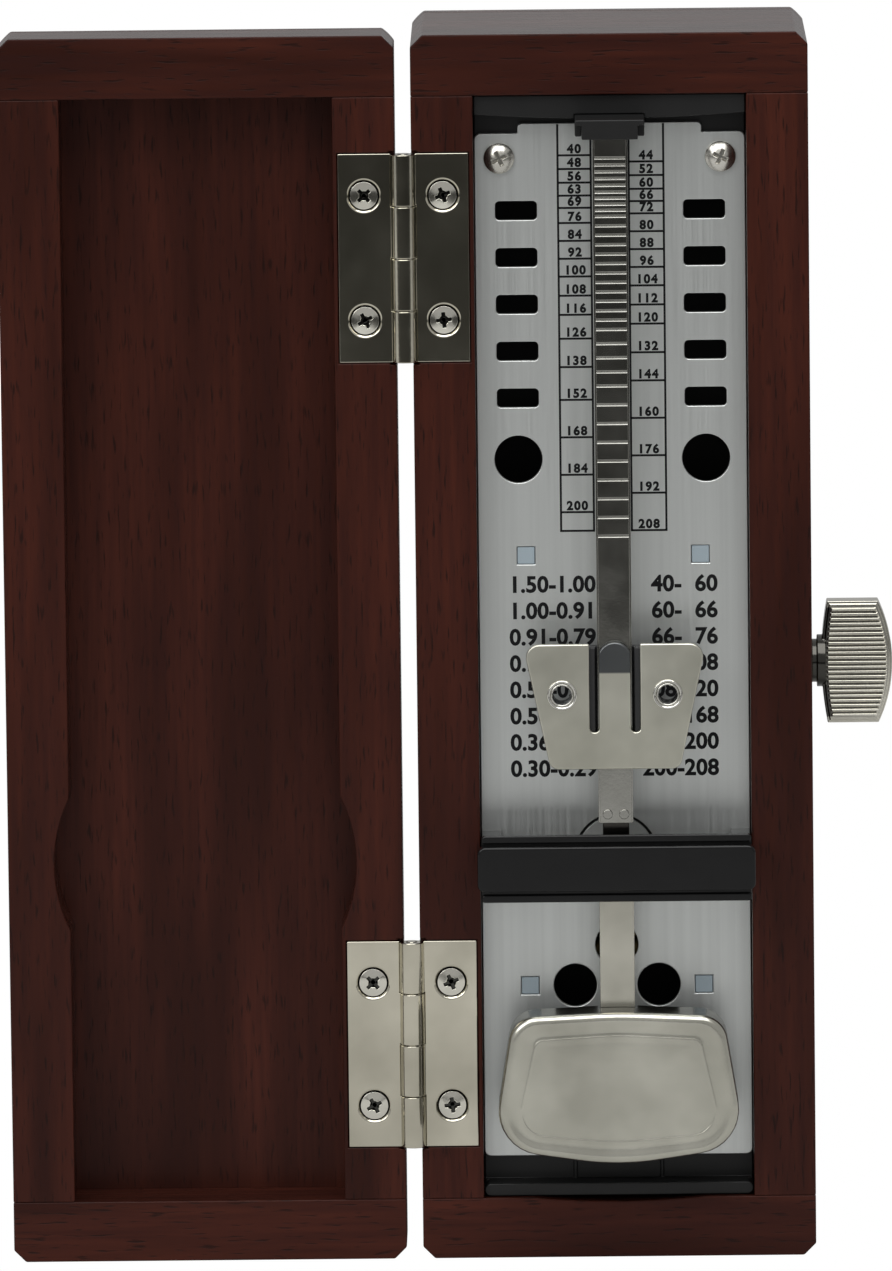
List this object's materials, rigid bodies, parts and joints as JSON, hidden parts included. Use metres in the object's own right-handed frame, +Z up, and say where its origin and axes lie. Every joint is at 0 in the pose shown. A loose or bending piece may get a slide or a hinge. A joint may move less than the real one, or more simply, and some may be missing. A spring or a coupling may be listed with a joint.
{
  "type": "metronome",
  "caption": "Pocket metronome in a dark wooden case, lid hinged at the left and open flat, with a brushed scale plate, notched pendulum, sliding weight, counterweight and winding key",
  "frame": {"origin": "centre of the case's bottom face", "axes": "+Z up, the open front faces -Y, +X to the right seen from the front; the lid is at -X and the key at +X"},
  "size_m": [0.1081, 0.0413, 0.15],
  "materials": {
    "wood": "dark stained hardwood under satin lacquer",
    "nickel": "nickel-plated steel, semi-bright",
    "aluminium": "brushed",
    "black_plastic": "moulded, satin",
    "grey_plastic": "moulded",
    "steel": "ground steel",
    "lead": "cast lead alloy, dull",
    "brass": "satin brass",
    "spring_steel": "blued spring steel"
  },
  "bodies": {
    "case": {"case_back_panel": "wood", "case_left_stile": "wood", "case_right_stile": "wood", "case_top_rail": "wood", "case_bottom_rail": "wood", "hinge_top_case_leaf": "nickel", "hinge_top_pin": "nickel", "hinge_bottom_case_leaf": "nickel", "hinge_bottom_pin": "nickel", "hinge_screws_case": "nickel", "movement_tub": "black_plastic", "scale_plate": "aluminium", "plate_screws": "nickel", "plate_pegs": "grey_plastic", "pivot_bridge": "black_plastic", "bridge_screws": "steel", "pendulum_clip": "black_plastic", "key_bush": "brass", "frame_plate_left": "brass", "frame_plate_right": "brass", "frame_pillars": "brass", "potence": "brass", "rear_bush": "brass", "click": "steel", "click_pin": "steel", "click_spring": "spring_steel"},
    "lid": {"lid_panel": "wood", "lid_hinge_stile": "wood", "lid_free_stile": "wood", "lid_top_rail": "wood", "lid_bottom_rail": "wood", "hinge_top_lid_leaf": "nickel", "hinge_bottom_lid_leaf": "nickel", "hinge_screws_lid": "nickel"},
    "pendulum": {"pendulum_rod": "nickel", "pendulum_lever": "steel", "lever_rivets": "nickel", "pendulum_arbor": "steel", "pendulum_collet": "brass", "verge_pallets": "steel", "counterweight_shell": "nickel", "counterweight_slug": "lead"},
    "weight": {"sliding_weight_face": "nickel", "sliding_weight_block": "steel", "weight_eyelets": "nickel"},
    "key": {"winding_key": "nickel", "barrel_arbor": "steel", "ratchet_wheel": "steel"},
    "barrel": {"barrel_drum": "brass", "barrel_cover": "brass", "great_wheel": "brass", "mainspring": "spring_steel"},
    "intermediate": {"intermediate_arbor": "steel", "intermediate_wheel": "brass"},
    "crown": {"crown_arbor": "steel", "crown_wheel": "brass"}
  },
  "joints": [
    {"name": "lid_hinge", "type": "hinge", "parent": "case", "child": "lid", "pos_m": [-0.025, -0.0167, 0.075], "axis": [0, 0, 1], "range_deg": [0, 180]},
    {"name": "pendulum_swing", "type": "hinge", "parent": "case", "child": "pendulum", "pos_m": [0, 0, 0.0491], "axis": [0, 1, 0], "range_deg": [-20, 2]},
    {"name": "weight_slide", "type": "slide", "parent": "pendulum", "child": "weight", "axis": [0, 0, 1], "range_m": [-0.004, 0.0582]},
    {"name": "key_wind", "type": "hinge", "parent": "case", "child": "key", "pos_m": [0, -0.00025, 0.07103], "axis": [1, 0, 0], "continuous": true},
    {"name": "barrel_run", "type": "hinge", "parent": "case", "child": "barrel", "pos_m": [0, -0.00025, 0.07103], "axis": [1, 0, 0], "continuous": true},
    {"name": "intermediate_run", "type": "hinge", "parent": "case", "child": "intermediate", "pos_m": [0, -0.00025, 0.05903], "axis": [1, 0, 0], "continuous": true},
    {"name": "crown_run", "type": "hinge", "parent": "case", "child": "crown", "pos_m": [0, -0.00025, 0.0491], "axis": [1, 0, 0], "continuous": true}
  ],
  "couplings": [
    {"joint": "intermediate_run", "follows": "barrel_run", "ratio": -3},
    {"joint": "crown_run", "follows": "barrel_run", "ratio": 12.5}
  ]
}
